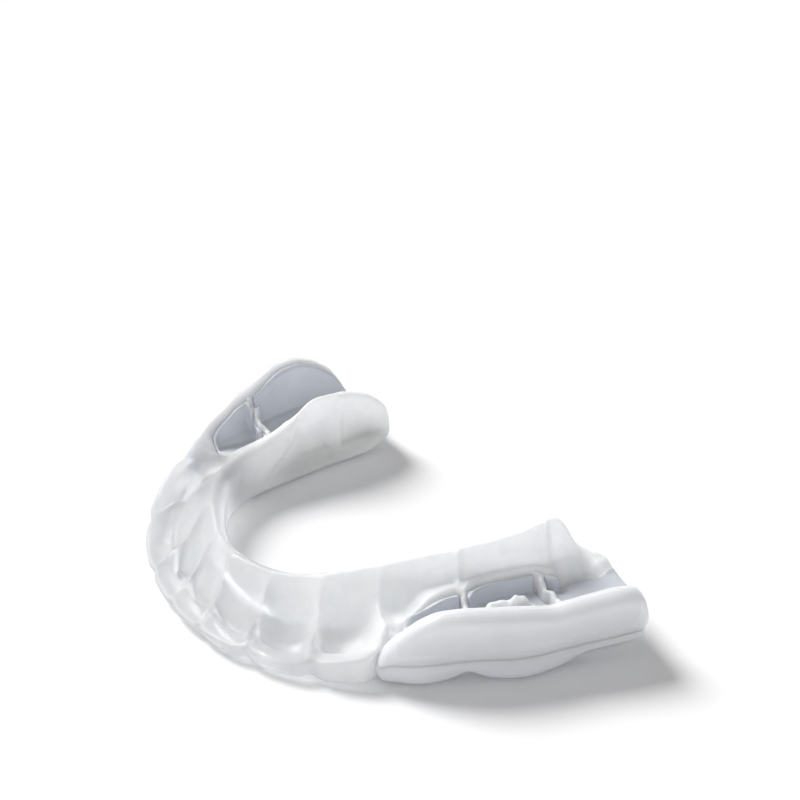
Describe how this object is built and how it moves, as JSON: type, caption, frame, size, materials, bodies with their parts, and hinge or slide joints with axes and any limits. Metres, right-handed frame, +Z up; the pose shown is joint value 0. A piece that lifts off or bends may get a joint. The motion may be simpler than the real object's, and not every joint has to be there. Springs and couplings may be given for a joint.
{
  "type": "sports mouthguard",
  "caption": "Moulded lower-arch sports mouthguard: clear shell with tooth sockets, white bite pads, flared cheek wings with clear films, grey-lined channels and a plain round badge.",
  "frame": {"origin": "on the midline, where the tooth row's centre line crosses it between the central incisors, on the flat biting face that the guard rests on", "axes": "+Z up out of the tooth channel, -Y towards the front teeth, +X towards the wearer's right side, which is the longer one"},
  "size_m": [0.0606, 0.0448, 0.0118],
  "materials": {
    "clear_eva": "clear, glossy, slightly milky",
    "white_eva": "satin, milky white",
    "grey_lining": "matte, cool grey",
    "clear_film": "clear, satin",
    "badge_red": "printed, matte",
    "badge_navy": "printed, matte",
    "badge_white": "printed, matte"
  },
  "bodies": {
    "root": {"clear_arch_shell": "clear_eva", "right_bite_pad": "white_eva", "left_bite_pad": "white_eva", "right_cheek_wing": "white_eva", "left_cheek_wing": "white_eva", "right_premolar_liner": "grey_lining", "right_first_molar_liner": "grey_lining", "right_second_molar_liner": "grey_lining", "left_premolar_liner": "grey_lining", "left_first_molar_liner": "grey_lining", "right_wing_film": "clear_film", "left_wing_film": "clear_film", "badge_ring": "badge_red", "badge_field": "badge_navy", "badge_chevron": "badge_white"}
  },
  "joints": []
}
